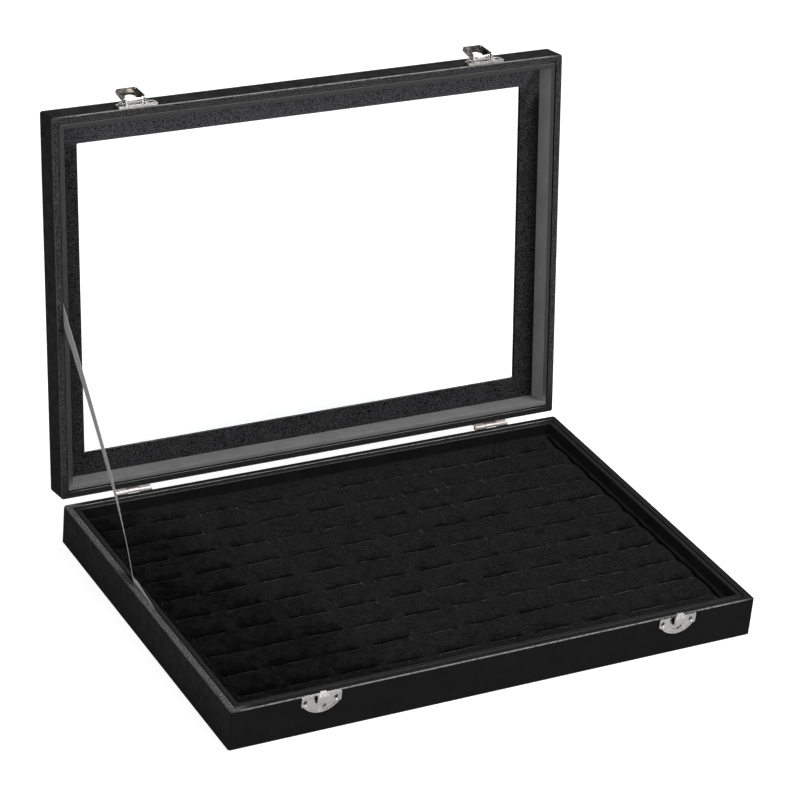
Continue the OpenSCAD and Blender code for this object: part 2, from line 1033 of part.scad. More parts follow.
base_wall(front);  // base_front_wall
base_wall(right);  // base_right_wall
base_wall(back);  // base_back_wall
base_wall(left);  // base_left_wall
base_bottom_board();
base_underside_cover();
base_liner(front);  // base_liner_front
base_liner(right);  // base_liner_right
base_liner(back);  // base_liner_back
base_liner(left);  // base_liner_left
ring_pad();
catch_plate(-1);  // left_catch_plate
catch_plate(1);  // right_catch_plate
catch_nails();
hinge_base_leaf(-1);  // left_hinge_base_leaf
hinge_base_leaf(1);  // right_hinge_base_leaf
hinge_pin(-1);  // left_hinge_pin
hinge_pin(1);  // right_hinge_pin
base_hinge_nails();
stay_ribbon();
lid_wall(front);  // lid_front_wall
lid_wall(right);  // lid_right_wall
lid_wall(back);  // lid_back_wall
lid_wall(left);  // lid_left_wall
lid_top_frame();
glass_pane();
window_flange();
lid_liner(front);  // lid_liner_front
lid_liner(right);  // lid_liner_right
lid_liner(back);  // lid_liner_back
lid_liner(left);  // lid_liner_left
latch_plate(-1);  // left_latch_plate
latch_plate(1);  // right_latch_plate
latch_nails();
latch_pin(-1);  // left_latch_pin
latch_pin(1);  // right_latch_pin
hinge_lid_leaf(-1);  // left_hinge_lid_leaf
hinge_lid_leaf(1);  // right_hinge_lid_leaf
lid_hinge_nails();
latch_lever(-1);  // left_latch_lever
latch_lever(1);  // right_latch_lever
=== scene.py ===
# %% [markdown]
# # A ring display box
#
# The object is a shallow black case. Its base holds a velvet pad with a hundred slots, a glazed lid stands open on
# two hinges, a ribbon stops it, and two small hook latches close it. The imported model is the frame: it says where
# every piece is. This lesson gives the pieces their real surfaces and finishes.

import bmesh
import bpy
import numpy as np
from mathutils import Matrix, Vector


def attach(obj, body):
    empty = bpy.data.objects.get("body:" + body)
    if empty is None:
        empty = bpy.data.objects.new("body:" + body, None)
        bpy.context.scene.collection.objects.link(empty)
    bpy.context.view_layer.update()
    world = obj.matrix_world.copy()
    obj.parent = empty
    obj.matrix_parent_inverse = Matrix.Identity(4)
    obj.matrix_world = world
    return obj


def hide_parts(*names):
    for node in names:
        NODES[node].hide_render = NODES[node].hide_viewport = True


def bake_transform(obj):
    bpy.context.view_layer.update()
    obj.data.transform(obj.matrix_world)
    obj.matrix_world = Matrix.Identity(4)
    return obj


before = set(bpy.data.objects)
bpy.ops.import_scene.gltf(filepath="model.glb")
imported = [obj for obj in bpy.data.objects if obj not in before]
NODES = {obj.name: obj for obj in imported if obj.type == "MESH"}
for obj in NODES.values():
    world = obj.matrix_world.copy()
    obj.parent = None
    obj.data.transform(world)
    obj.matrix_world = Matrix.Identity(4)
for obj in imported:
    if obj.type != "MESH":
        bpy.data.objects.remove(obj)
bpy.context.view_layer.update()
scene = bpy.context.scene

# %% [markdown]
# ## Sizes
#
# A maker works from a list of sizes. These are the source's own numbers, in millimetres: the origin is the middle
# of the underside, +X to the right, +Y to the hinges and +Z up. The lid is drawn shut, with its rim at height 0,
# and is then swung open about the hinge line, so that its profile stays simple.

# %% The case's sizes in millimetres
MM = 0.001
BOX_W, BOX_D, BASE_H, LID_H = 350.0, 242.0, 26.0, 18.5
WALL, GROOVE, LINER, LINER_DROP = 4.4, 0.6, 3.0, 0.4
INSIDE = WALL + GROOVE + LINER
HINGE_Y, HINGE_Z, LID_RIM = 122.85, 26.15, 26.3
LID_OPEN = np.radians(99.0)
WINDOW_RAIL, FRAME_Z, FLANGE_Z = 22.0, 15.5, 14.7
FLOOR_Z = 3.8


def swing_open(points):
    """Turns shut-lid points about the hinge line by the opening angle a: measured from that line, y' is
    y cos a + z sin a, and z' is z cos a - y sin a."""
    y = points[..., 1] - HINGE_Y
    z = points[..., 2] + LID_RIM - HINGE_Z
    turned = points.copy()
    turned[..., 1] = HINGE_Y + y * np.cos(LID_OPEN) + z * np.sin(LID_OPEN)
    turned[..., 2] = HINGE_Z + z * np.cos(LID_OPEN) - y * np.sin(LID_OPEN)
    return turned


# %% [markdown]
# ## Camera
#
# The view was found by fitting a pinhole camera to the case's corners in the photograph. It stands almost two
# metres away with a long lens, so the far edges are nearly as long as the near ones, and it is rolled a little.
# An Euler angle would hide that roll, so the camera's three axes go straight into its matrix.

# %% Set the camera
IMAGE_PX, SENSOR = 800.0, 36.0


def aim_camera(target, distance, azimuth, elevation, roll, focal_px):
    """Puts the camera at target + distance * back; right and up are turned about back by the roll."""
    a, e, r = np.radians([azimuth, elevation, roll])
    back = np.array([np.sin(a) * np.cos(e), -np.cos(a) * np.cos(e), np.sin(e)])
    level = np.cross([0, 0, 1], back)
    level /= np.linalg.norm(level)
    upright = np.cross(back, level)
    right = np.cos(r) * level + np.sin(r) * upright
    up = -np.sin(r) * level + np.cos(r) * upright
    place = (np.array(target) + distance * back) * MM
    data = bpy.data.cameras.new("camera")
    data.lens = focal_px / IMAGE_PX * SENSOR
    data.sensor_width = SENSOR
    data.clip_start, data.clip_end = 0.1, 60.0
    camera = bpy.data.objects.new("camera", data)
    camera.matrix_world = Matrix([[right[i], up[i], back[i], place[i]] for i in range(3)] + [[0, 0, 0, 1]])
    scene.collection.objects.link(camera)
    scene.camera = camera
    print("camera at", np.round(place, 3), "lens", round(data.lens, 1), "mm")


aim_camera(
    target=(1.13, 27.16, 116.48),
    distance=1931.0,
    azimuth=-30.383,
    elevation=28.079,
    roll=5.451,
    focal_px=3208.1,
)

# %% [markdown]
# ## Turning arrays into meshes
#
# Every new surface is a grid of points worked out as one array. A grid needs only one rule for its faces, and
# `foreach_set` hands whole arrays to Blender, which is far quicker than adding vertices one at a time. The normals
# are recalculated once, so that the faces of a closed shell point outwards.


# %% Helpers for meshes
def grid_quads(rows, cols, close_rows=False, close_cols=False):
    """Faces of a grid: point (i, j) joins (i, j+1), (i+1, j+1) and (i+1, j), with the ends joined where asked."""
    i = np.arange(rows if close_rows else rows - 1)[:, None]
    j = np.arange(cols if close_cols else cols - 1)[None, :]
    below, beside = (i + 1) % rows, (j + 1) % cols
    corners = np.broadcast_arrays(i * cols + j, i * cols + beside, below * cols + beside, below * cols + j)
    return np.stack(corners, -1).reshape(-1, 4)


def new_piece(name, points, quads, caps=(), uv=None):
    """Makes an object from points in millimetres, a table of quads and a few many-sided caps."""
    loops = np.concatenate([quads.ravel(), *caps]).astype(np.int32)
    totals = np.array([4] * len(quads) + [len(c) for c in caps])
    starts = np.concatenate([[0], np.cumsum(totals)[:-1]]).astype(np.int32)
    mesh = bpy.data.meshes.new(name)
    mesh.vertices.add(len(points))
    mesh.vertices.foreach_set("co", (points * MM).astype(np.float32).ravel())
    mesh.loops.add(len(loops))
    mesh.loops.foreach_set("vertex_index", loops)
    mesh.polygons.add(len(totals))
    mesh.polygons.foreach_set("loop_start", starts)
    mesh.polygons.foreach_set("use_smooth", np.ones(len(totals), bool))
    if uv is not None:
        layer = mesh.uv_layers.new(name="UVMap")
        layer.data.foreach_set("uv", uv[loops].astype(np.float32).ravel())
    mesh.update(calc_edges=True)
    made = bmesh.new()
    made.from_mesh(mesh)
    bmesh.ops.recalc_face_normals(made, faces=made.faces)
    made.to_mesh(mesh)
    made.free()
    piece = bpy.data.objects.new(name, mesh)
    scene.collection.objects.link(piece)
    print(f"{name}: {len(points)} points, {len(totals)} faces")
    return piece


def point_values(piece, name, values):
    """Stores one number per point, for a material to read."""
    attribute = piece.data.attributes.new(name, "FLOAT", "POINT")
    attribute.data.foreach_set("value", np.asarray(values, np.float32).ravel())


# %% [markdown]
# ## Building materials from nodes
#
# Each finish is one Principled shader. What is the same all over goes on its own socket, and only what varies,
# such as grain or nap, comes from textures. The patterns read Object coordinates in metres, so a scale of 1000
# means a pattern of about a millimetre, and the grain has its true size on every piece.


# %% Helpers for materials
class Finish:
    """A material with one Principled shader and short calls for the nodes before it."""

    def __init__(self, name, **sockets):
        self.material = bpy.data.materials.new(name)
        self.material.use_nodes = True
        self.tree = self.material.node_tree
        self.shader = self.tree.nodes["Principled BSDF"]
        for socket, value in sockets.items():
            self.shader.inputs[socket.replace("_", " ")].default_value = value
        self.place = self.add("ShaderNodeTexCoord").outputs["Object"]

    def add(self, kind, inputs=(), **settings):
        """Adds a node, with its settings, and sets or links its inputs."""
        made = self.tree.nodes.new(kind)
        for key, value in settings.items():
            setattr(made, key, value)
        for key, value in dict(inputs).items():
            if isinstance(value, bpy.types.NodeSocket):
                self.tree.links.new(value, made.inputs[key])
            else:
                made.inputs[key].default_value = value
        return made

    def noise(self, scale, detail=2.0):
        """Noise from 0 to 1, with that many waves to a metre."""
        inputs = {"Vector": self.place, "Scale": scale, "Detail": detail}
        return self.add("ShaderNodeTexNoise", inputs).outputs["Fac"]

    def stored(self, name):
        """A number that the mesh keeps at each point."""
        return self.add("ShaderNodeAttribute", attribute_name=name).outputs["Fac"]

    def sum_of(self, operation, a, b):
        """One step of arithmetic on two numbers."""
        return self.add("ShaderNodeMath", {0: a, 1: b}, operation=operation).outputs[0]

    def spread(self, value, low, high, to_low=0.0, to_high=1.0):
        """Stretches low..high to to_low..to_high, and holds it there."""
        inputs = {"Value": value, "From Min": low, "From Max": high, "To Min": to_low, "To Max": to_high}
        return self.add("ShaderNodeMapRange", inputs, interpolation_type="SMOOTHSTEP").outputs["Result"]

    def shades(self, value, *stops):
        """A grey or coloured ramp, from (position, grey or colour) stops."""
        ramp = self.add("ShaderNodeValToRGB", {"Fac": value})
        elements = ramp.color_ramp.elements
        for number, (position, shade) in enumerate(stops):
            element = elements[number] if number < len(elements) else elements.new(position)
            element.position = position
            element.color = (*(shade if isinstance(shade, tuple) else (shade,) * 3), 1)
        return ramp.outputs["Color"]

    def blend(self, share, a, b, mode="MIX"):
        """Mixes two colours."""
        made = self.add("ShaderNodeMix", data_type="RGBA", blend_type=mode)
        for slot, value in ((0, share), (6, a), (7, b)):
            if isinstance(value, bpy.types.NodeSocket):
                self.tree.links.new(value, made.inputs[slot])
            else:
                made.inputs[slot].default_value = value
        return made.outputs[2]

    def relief(self, height, depth, strength=1.0, under=None):
        """A bump of that depth in metres."""
        inputs = {"Height": height, "Distance": depth, "Strength": strength}
        if under is not None:
            inputs["Normal"] = under
        return self.add("ShaderNodeBump", inputs).outputs["Normal"]

    def feed(self, **sockets):
        """Links values to the shader."""
        for socket, value in sockets.items():
            self.tree.links.new(value, self.shader.inputs[socket.replace("_", " ")])

    def onto(self, *pieces):
        """Gives the finish to pieces."""
        for piece in pieces:
            piece.data.materials.clear()
            piece.data.materials.append(self.material)
        print(self.material.name, "on", ", ".join(piece.name for piece in pieces))


# %% [markdown]
# ## Stage and light
#
# The case stands on a white sweep under soft boxes, as for a catalogue. The floor is pale for the light that it
# throws back up, and a little brighter for what the camera sees, so that it reads as white. A black case and its
# metal show themselves only by what they reflect, so the sky is white at the horizon and nearly black overhead, and
# the soft boxes stand where the rims and the latches mirror them.

# %% The floor
FLOOR_HALF, FLOOR_DROP = 12000.0, 0.3
FLOOR_GREY, FLOOR_GLOW = 0.55, 0.85


def white_floor():
    """A square just under the case's foot."""
    corners = np.array([[-1, -1, 0], [1, -1, 0], [1, 1, 0], [-1, 1, 0]], float) * FLOOR_HALF
    corners[:, 2] = -FLOOR_DROP
    floor = new_piece("floor", corners, np.array([[0, 1, 2, 3]]))
    paint = Finish("floor_white", Roughness=0.9, Specular_IOR_Level=0.0)
    paint.shader.inputs["Base Color"].default_value = (FLOOR_GREY, FLOOR_GREY, FLOOR_GREY, 1)
    path = paint.add("ShaderNodeLightPath").outputs
    seen = paint.sum_of("MAXIMUM", path["Is Camera Ray"], path["Is Transmission Ray"])
    paint.shader.inputs["Emission Color"].default_value = (1, 1, 1, 1)
    paint.feed(Emission_Strength=paint.sum_of("MULTIPLY", seen, FLOOR_GLOW))
    paint.onto(floor)


white_floor()


# %% The sky
SKY = ((0.0, 1.0), (0.12, 0.95), (0.3, 0.14), (1.0, 0.03))


def studio_sky():
    """Grey of the sky by the height z of a direction: white at the horizon and dark overhead."""
    world = bpy.data.worlds.new("studio")
    scene.world = world
    world.use_nodes = True
    tree = world.node_tree
    direction = tree.nodes.new("ShaderNodeTexCoord").outputs["Generated"]
    split = tree.nodes.new("ShaderNodeSeparateXYZ")
    ramp = tree.nodes.new("ShaderNodeValToRGB")
    tree.links.new(direction, split.inputs[0])
    tree.links.new(split.outputs["Z"], ramp.inputs["Fac"])
    tree.links.new(ramp.outputs["Color"], tree.nodes["Background"].inputs["Color"])
    elements = ramp.color_ramp.elements
    for number, (position, grey) in enumerate(SKY):
        element = elements[number] if number < 2 else elements.new(position)
        element.position = position
        element.color = (grey, grey, grey, 1)


studio_sky()
scene.view_settings.view_transform = "Standard"
print("sky greys by height:", SKY)


# %% The soft boxes
def soft_box(name, place, aim, size, power, mirrored=True):
    """A square area lamp at place, turned to aim, in metres and watts. Glass and metal show it if it is mirrored."""
    lamp = bpy.data.lights.new(name, "AREA")
    lamp.shape, lamp.size, lamp.energy = "SQUARE", size, power
    holder = bpy.data.objects.new(name, lamp)
    holder.location = place
    holder.rotation_euler = (Vector(aim) - Vector(place)).to_track_quat("-Z", "Y").to_euler()
    holder.visible_glossy = mirrored
    scene.collection.objects.link(holder)
    print(f"{name}: {power} W, {size} m wide")


soft_box("top_light", (0.45, -0.35, 1.3), (0.05, 0, 0.02), 0.7, 17)
soft_box("front_light", (0.6, -2.4, 0.9), (0, 0.05, 0.1), 1.6, 16)
soft_box("side_light", (-2.2, -1.0, 0.8), (0, 0.05, 0.1), 1.0, 26)
soft_box("back_light", (0.36, 0.72, 0.54), (-0.05, -0.1, 0.02), 0.3, 0.4, mirrored=False)

# %% [markdown]
# ## Finishes of the case
#
# The walls are fibreboard in black leatherette: embossed pebbles under a satin coat, and a pale line round the
# edges, part polish where the covering is pulled tight and part painted highlight. A Voronoi pattern warped by noise
# gives the pebbles, and its height goes to the bump. How near a point is to an edge is known when the profile is made,
# so it is stored on the mesh as `edge`, and the material reads it instead of guessing. The flat of the rim also gets
# painted sheen, stored as `rim`, strongest on the base's left end.


# %% Black leatherette
def pebbles(finish, size_per_m, warp=0.35):
    """Height of embossed pebbles: distance to the middle of a warped cell, turned upside down."""
    drift = finish.add("ShaderNodeTexNoise", {"Vector": finish.place, "Scale": size_per_m * 0.6, "Detail": 2.0})
    moved = finish.add(
        "ShaderNodeVectorMath",
        {0: drift.outputs["Color"], 1: (warp / size_per_m,) * 3},
        operation="MULTIPLY",
    )
    place = finish.add("ShaderNodeVectorMath", {0: finish.place, 1: moved.outputs[0]}, operation="ADD")
    cells = finish.add(
        "ShaderNodeTexVoronoi",
        {"Vector": place.outputs[0], "Scale": size_per_m, "Smoothness": 0.4},
        feature="SMOOTH_F1",
    )
    return finish.spread(cells.outputs["Distance"], 0.1, 0.65, 1.0, 0.0)


leatherette = Finish("black_leatherette", Specular_IOR_Level=0.06)
grain = pebbles(leatherette, 900.0)
blotches = leatherette.noise(38.0, 3.0)


def rubbed_and_painted_edge(finish):
    """Share of the pale edge line, part bare polish from rubbing and part painted light: the stored edge value, hardly
    broken up.
    """
    broken = finish.spread(finish.noise(500.0, 3.0), 0.25, 0.6, 0.35, 1.0)
    return finish.sum_of("MULTIPLY", finish.stored("edge"), broken)


hide = leatherette.shades(blotches, (0.3, 0.0062), (0.7, 0.0078))
# Painted sheen: the flat of the rim is painted pale where light glances off it, most on the base's left end.
pale_tops = leatherette.spread(leatherette.noise(1350.0, 2.0), 0.4, 0.62)
painted_rim_sheen = leatherette.sum_of("MULTIPLY", leatherette.stored("rim"), pale_tops)
hide = leatherette.blend(painted_rim_sheen, hide, (0.17, 0.17, 0.175, 1))
# Pale edges: part polish from rubbing, part painted highlight.
leatherette.feed(
    Base_Color=leatherette.blend(rubbed_and_painted_edge(leatherette), hide, (0.34, 0.34, 0.34, 1)),
    Roughness=leatherette.spread(leatherette.noise(160.0), 0.3, 0.7, 0.5, 0.65),
    Normal=leatherette.relief(grain, 0.00009, 0.8, leatherette.relief(blotches, 0.0005, 0.25)),
)

# %% [markdown]
# The lid is lined with grey satin glued over card, and the tray with a matt black covering. Both could be the
# leatherette in another colour, but satin is smooth and shines more, so each has a finish of its own. Their lips are
# stored as `rim` and painted: painted shade makes the satin's lip darker, and a painted highlight makes the black
# lip paler. Low down, beside the pad, the black lining is painted paler, painted light in the shaded gap, so that
# the gap doesn't read as a hole.

# %% Grey satin lining of the lid, and black lining of the tray
lid_lining = Finish("grey_satin_lining", Specular_IOR_Level=0.15)
satin = lid_lining.shades(lid_lining.noise(55.0, 4.0), (0.3, 0.15), (0.7, 0.185))
# Painted shade: the satin's lip is painted darker.
satin = lid_lining.blend(lid_lining.stored("rim"), satin, (0.034, 0.034, 0.034, 1))
# Along its lip's roundings the satin is painted darker, painted shade.
lid_lining.feed(
    Base_Color=lid_lining.blend(rubbed_and_painted_edge(lid_lining), satin, (0.1, 0.1, 0.1, 1)),
    Roughness=lid_lining.spread(lid_lining.noise(300.0), 0.3, 0.7, 0.42, 0.56),
    Normal=lid_lining.relief(lid_lining.noise(1900.0, 3.0), 0.00004, 0.6),
)
tray_lining = Finish("black_tray_lining", Specular_IOR_Level=0.06)
lining_cloth = tray_lining.shades(tray_lining.noise(70.0, 4.0), (0.3, 0.0045), (0.72, 0.0075))
# Painted highlight: the black lining's lip is painted paler.
lining_cloth = tray_lining.blend(tray_lining.stored("rim"), lining_cloth, (0.017, 0.017, 0.017, 1))
# Painted light low down beside the pad, where the gap is in shade.
height = tray_lining.add("ShaderNodeSeparateXYZ", {"Vector": tray_lining.place}).outputs["Z"]
painted_gap_light = tray_lining.spread(height, 0.015, 0.0185, 1.0, 0.0)
lining_cloth = tray_lining.blend(painted_gap_light, lining_cloth, (0.05, 0.05, 0.05, 1))
# Along its lip's roundings the black is painted paler: part rubbing, part painted highlight.
tray_lining.feed(
    Base_Color=tray_lining.blend(rubbed_and_painted_edge(tray_lining), lining_cloth, (0.09, 0.09, 0.09, 1)),
    Roughness=tray_lining.spread(tray_lining.noise(240.0), 0.3, 0.7, 0.6, 0.8),
    Normal=tray_lining.relief(tray_lining.noise(1700.0, 3.0), 0.00006, 0.7),
)

# %% [markdown]
# Velvet is black where its pile stands up, and paler where the pile lies flat. Hair could make the pile, but it
# would be heavy and is lost in an export, so the colour and the bump follow two noises: one for slow waves in the lie
# of the pile, and one for the pile itself. Light and shade are painted on top, from a value stored on the mesh: a
# painted highlight where a lip or a fold faces the light, and painted shade where shade falls.


# %% Black velvet
def tinted(grey):
    """A grey with the faint violet of black velvet."""
    return (grey, grey, 1.05 * grey)


def black_velvet(name, dark, pale, pile_per_m, lit_grey):
    """Velvet from a dark to a pale grey. A stored value of painted light below 0 darkens it, as painted shade, and one
    above 0 turns it to the lit grey, as a painted highlight."""
    finish = Finish(
        name,
        Specular_IOR_Level=0.02,
        Roughness=1.0,
        Sheen_Weight=0.02,
        Sheen_Roughness=0.4,
        Sheen_Tint=(0.8, 0.8, 0.9, 1),
    )
    waves, pile = finish.noise(95.0, 4.0), finish.noise(pile_per_m, 2.5)
    shade = finish.sum_of("MULTIPLY", finish.spread(pile, 0.4, 0.6), 0.7)
    shade = finish.sum_of("ADD", shade, finish.sum_of("MULTIPLY", waves, 0.3))
    cloth = finish.shades(shade, (0.12, tinted(dark)), (0.8, tinted(pale)))
    # Painted light and shade, stored on the mesh: below 0 it darkens the cloth, above 0 it turns it paler.
    painted_light = finish.stored("painted_light")
    cloth = finish.blend(1.0, cloth, finish.spread(painted_light, -1.0, 0.0, 0.15, 1.0), "MULTIPLY")
    painted_lit_share = finish.sum_of("MULTIPLY", finish.spread(painted_light, 0.0, 1.0), finish.spread(pile, 0.4, 0.6, 0.2, 1.0))
    finish.feed(
        Base_Color=finish.blend(painted_lit_share, cloth, (*tinted(lit_grey), 1)),
        Normal=finish.relief(pile, 0.0002, 0.8, finish.relief(waves, 0.0012, 0.5)),
    )
    return finish


pad_velvet = black_velvet("black_pad_velvet", 0.0045, 0.017, 1150.0, 0.075)
window_cloth = black_velvet("black_window_velvet", 0.0015, 0.038, 1450.0, 0.11)

# %% [markdown]
# ## Walls with one continuous covering
#
# The leatherette runs without a break round the outside, over the rim and down the inside, with a fold on the
# mitre of each corner. Boolean cuts and a Bevel modifier could make that, but a profile carried round a rectangle
# does it in one step: the inset of each profile point moves the whole path inwards, and the corner's radius
# shrinks with it. A second point beside each rounding keeps the flat faces flat in the shading.


# %% Carry a profile round a rectangle
def smooth_step(value):
    """3 t^2 - 2 t^3 of a share held between 0 and 1."""
    t = np.clip(value, 0, 1)
    return t * t * (3 - 2 * t)


def bell(value, width):
    """exp of -(value / width)^2: 1 in the middle, and next to nothing two widths away."""
    return np.exp(-((value / width) ** 2))


def rounded_profile(corners, steps=8, brace=0.14):
    """Closed outline of right-angled corners (inset, height, radius). An arc of radius r about P + r (a + b) joins the
    two edges, where a and b point from the corner P to its neighbours. Returns points, and how near each is to an
    edge: the fifth power of the sine of twice the arc's turn."""
    corner = np.array(corners, float)
    place, radius = corner[:, :2], corner[:, 2:]
    to_last = np.roll(place, 1, 0) - place
    to_next = np.roll(place, -1, 0) - place
    a = to_last / np.linalg.norm(to_last, axis=1, keepdims=True)
    b = to_next / np.linalg.norm(to_next, axis=1, keepdims=True)
    turn = np.linspace(0, np.pi / 2, steps + 1)[None, :, None]
    middle = (place + radius * (a + b))[:, None]
    arc = middle - radius[:, None] * (b[:, None] * np.cos(turn) + a[:, None] * np.sin(turn))
    before = (place + (radius + brace) * a)[:, None]
    after = (place + (radius + brace) * b)[:, None]
    near = np.concatenate([[0], np.sin(2 * turn[0, :, 0]) ** 5, [0]])[None, :] * np.minimum(radius, 1.0)
    return np.concatenate([before, arc, after], 1).reshape(-1, 2), near.ravel()


def carry_round(profile, width, depth, radius_at, seam=None, corner_steps=8, side_steps=26):
    """Carries [inset, height] round a rectangle. At a corner the path is the corner's centre plus a radius that depends
    on the inset, turned through 90 degrees, and the sides join the corners. seam(inset, height) sinks the mitre."""
    inset, height = profile[:, 0], profile[:, 1]
    radius = np.interp(inset, *radius_at)
    sign = np.array([[1, -1], [1, 1], [-1, 1], [-1, -1]], float)
    turn = np.linspace(-np.pi / 2, 0, corner_steps + 1)[None, :] + np.arange(4)[:, None] * np.pi / 2
    half = np.array([width / 2, depth / 2])
    centre = sign[:, None, None, :] * (half - (inset + radius)[:, None])[None, None]
    ray = np.stack([np.cos(turn), np.sin(turn)], -1)[:, :, None, :]
    corner = centre + radius[None, None, :, None] * ray
    share = np.concatenate([[0.002], np.linspace(0.03, 0.97, side_steps), [0.998]])[None, :, None, None]
    side = corner[:, -1:] * (1 - share) + np.roll(corner[:, :1], -1, 0) * share
    plan = np.concatenate([corner, side], 1)
    tall = np.broadcast_to(height, plan.shape[:3]).copy()
    if seam is not None:
        tall[:, corner_steps // 2] += seam(inset, height)
    return np.concatenate([plan, tall[..., None]], -1).reshape(-1, len(profile), 3)


def covered_frame(name, outline, radius_at, rim, seam=None, lid=False, pale=(0.3, 0.3), extra_edge=None):
    """A closed frame from a profile carried round the case, swung open if it is on the lid. It stores two masks at each
    point. `edge` is for the roundings, part rubbing and part painted light: most at the rim, least on the short sides,
    and more along the base's back. `rim` is painted light on the flat of the rim: pale gives its strength on the left
    and elsewhere, and it fades by the lid's hinges."""
    profile, near = outline
    points = carry_round(profile, BOX_W, BOX_D, radius_at, seam)
    rows, cols = points.shape[:2]
    x, y, z = np.moveaxis(points, -1, 0)
    at_end = smooth_step((np.abs(x) - BOX_W / 2 + 3 * WALL) / WALL)
    at_back = smooth_step((y - BOX_D / 2 + 3 * WALL) / WALL)
    # Painted highlight and rubbing on the roundings: fainter on the short sides, stronger along the base's back.
    edge = near * (0.2 + 0.8 * bell(z - rim, 0.8)) * (1 - 0.85 * at_end)
    # Painted light on the flat of the rim.
    flat_rim = bell(z - rim, 0.35) * (pale[1] + (pale[0] - pale[1]) * at_end * (x < 0))
    if lid:
        flat_rim = flat_rim * (1 - 0.7 * at_back)
    else:
        edge = np.minimum(edge * (1 + 0.6 * at_back), 1)
    if extra_edge is not None:
        edge = np.maximum(edge, extra_edge(points))
    if lid:
        points = swing_open(points)
    piece = new_piece(name, points.reshape(-1, 3), grid_quads(rows, cols, True, True))
    point_values(piece, "edge", edge)
    point_values(piece, "rim", flat_rim)
    return piece


# %% [markdown]
# The base is four walls. Its covering is stretched tight, so the outer edge of the rim is a round of little more
# than a millimetre, and the inner edge is sharper.

# %% Outer covering of the base
# A pair of lists for each piece: insets from the outside, and the radius of the path's corners at each inset.
OUTER_ROUND, INNER_ROUND = 1.2, 0.6
WALL_CORNERS = ([0, WALL], [1.6, 0.3])
SEAM_DEPTH = 0.14


def rim_seam(rim, direction):
    """The mitre sinks at the rim and fades out within 1.5 mm of it."""
    return lambda inset, height: direction * SEAM_DEPTH * bell(height - rim, 0.9)


# The base's rim gets painted sheen in full on its left end, and faintly elsewhere.
base_walls = covered_frame(
    "base_covered_walls",
    rounded_profile([(0, 0, 0.6), (WALL, 0, 0.2), (WALL, BASE_H, INNER_ROUND), (0, BASE_H, OUTER_ROUND)]),
    WALL_CORNERS,
    BASE_H,
    rim_seam(BASE_H, -1),
    pale=(1.0, 0.07),
)
leatherette.onto(base_walls)
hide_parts("base_front_wall", "base_right_wall", "base_back_wall", "base_left_wall")
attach(base_walls, "base")

# %% [markdown]
# The lid's profile goes on over the top and ends at the window, with a rebate for the glass on the inside. It is
# drawn with the lid shut, like a plain picture frame, and then turned open with the formula for the lid.

# %% Outer covering of the lid
REBATE, GLASS_SEAT, SILL_LINE = 5.0, 17.4, 0.7
LID_CORNERS = ([0, WALL, WINDOW_RAIL - REBATE, WINDOW_RAIL], [1.6, 0.3, 0.4, 0.8])


def bright_sill(points):
    """A pale line on the window's edge by the hinges, part rubbed bare and part painted highlight, above the pane's
    seat and below the top's rounding.
    """
    y, z = points[..., 1], points[..., 2]
    on_sill = np.abs(y - BOX_D / 2 + WINDOW_RAIL) < 0.3
    return SILL_LINE * on_sill * (z > GLASS_SEAT - 0.2) * (z < LID_H - 0.25)


lid_walls = covered_frame(
    "lid_covered_walls",
    rounded_profile(
        [
            (0, 0, OUTER_ROUND),
            (WALL, 0, INNER_ROUND),
            (WALL, FRAME_Z, 0.1),
            (WINDOW_RAIL - REBATE, FRAME_Z, 0.1),
            (WINDOW_RAIL - REBATE, GLASS_SEAT, 0.1),
            (WINDOW_RAIL, GLASS_SEAT, 0.15),
            (WINDOW_RAIL, LID_H, 0.6),
            (0, LID_H, OUTER_ROUND),
        ]
    ),
    LID_CORNERS,
    0,
    rim_seam(0, 1),
    lid=True,
    extra_edge=bright_sill,
)
leatherette.onto(lid_walls)
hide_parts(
    "lid_front_wall", "lid_right_wall", "lid_back_wall", "lid_left_wall", "lid_top_frame"
)
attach(lid_walls, "lid")

# %% [markdown]
# ## Linings
#
# Covered strips line the base and the lid, a narrow groove away from the walls. Their lips are rounded and their
# corners are mitred, so they are the same carried profile, with the same sunk mitre. The ring of velvet round the
# window is a thin covered board, rounded at the opening.

# %% Linings of base and lid
LINER_CORNERS = ([WALL + GROOVE, INSIDE], [0.35, 0.25])


def lining(name, low, high, lip, body, finish, nodes):
    """Four mitred strips in one: a rectangle between two heights, rounded at its lip and carried round the case."""
    rounds = (0.15, 0.15, INNER_ROUND, INNER_ROUND) if lip == high else (INNER_ROUND, INNER_ROUND, 0.15, 0.15)
    outer = WALL + GROOVE
    outline = rounded_profile(
        [(outer, low, rounds[0]), (INSIDE, low, rounds[1]), (INSIDE, high, rounds[2]), (outer, high, rounds[3])]
    )
    seam = rim_seam(lip, -1 if lip == high else 1)
    piece = covered_frame(name, outline, LINER_CORNERS, lip, seam, body == "lid", (1.0, 1.0))
    finish.onto(piece)
    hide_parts(*nodes)
    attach(piece, body)


SIDES = ("front", "right", "back", "left")
BASE_LIP = BASE_H - LINER_DROP
lining(
    "tray_lining",
    FLOOR_Z,
    BASE_LIP,
    BASE_LIP,
    "base",
    tray_lining,
    [f"base_liner_{s}" for s in SIDES],
)
lining(
    "lid_lining",
    LINER_DROP,
    FLANGE_Z,
    LINER_DROP,
    "lid",
    lid_lining,
    [f"lid_liner_{s}" for s in SIDES],
)

# %% Velvet ring round the window
UNDER_WALL = 4.7
window_velvet = covered_frame(
    "window_velvet_ring",
    rounded_profile(
        [
            (UNDER_WALL, FLANGE_Z, 0.2),
            (WINDOW_RAIL, FLANGE_Z, 0.38),
            (WINDOW_RAIL, FRAME_Z, 0.38),
            (UNDER_WALL, FRAME_Z, 0.2),
        ]
    ),
    ([UNDER_WALL, WINDOW_RAIL], [0.3, 0.8]),
    FLANGE_Z,
    lid=True,
)

